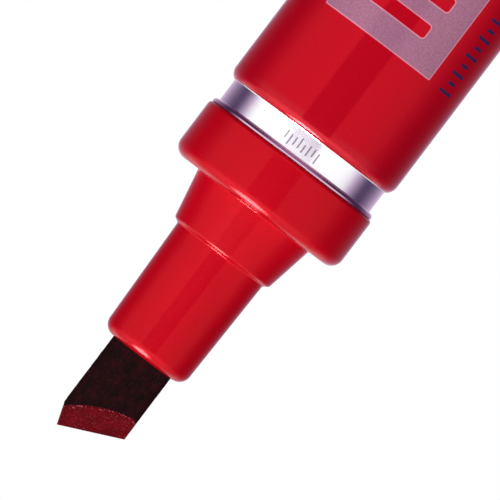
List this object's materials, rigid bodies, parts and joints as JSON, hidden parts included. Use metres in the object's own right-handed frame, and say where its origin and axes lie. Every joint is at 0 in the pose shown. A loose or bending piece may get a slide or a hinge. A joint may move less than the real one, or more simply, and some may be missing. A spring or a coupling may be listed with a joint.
{
  "type": "felt tip marker",
  "caption": "Red chisel-tip felt marker with a lacquered aluminium barrel and rolled bare-metal neck, standing tip up with its cap pushed onto the tail.",
  "frame": {"origin": "centre of the cap's closed end, which is the foot that the marker stands on", "axes": "+Z along the marker's axis, from the cap's closed end to the nib's tip; the nib's broad faces look along -Y and +Y, with its long corner on the +X side"},
  "size_m": [0.0188, 0.0188, 0.1436],
  "materials": {
    "red_lacquer": "gloss",
    "bare_aluminium": "satin",
    "red_plastic": "gloss",
    "inked_felt": "matte",
    "fibre_wadding": "matte",
    "clear_film": "gloss",
    "cap_plastic": "gloss",
    "liner_plastic": "satin"
  },
  "bodies": {
    "cap": {"cap_shell": "cap_plastic", "cap_liner": "liner_plastic"},
    "marker": {"barrel": "red_lacquer", "nib_holder": "red_plastic", "nib": "inked_felt", "ink_reservoir": "fibre_wadding", "reservoir_wrap": "clear_film"}
  },
  "joints": [
    {"name": "marker_pull", "type": "slide", "parent": "cap", "child": "marker", "axis": [0, 0, 1], "range_m": [0, 0.012]}
  ]
}
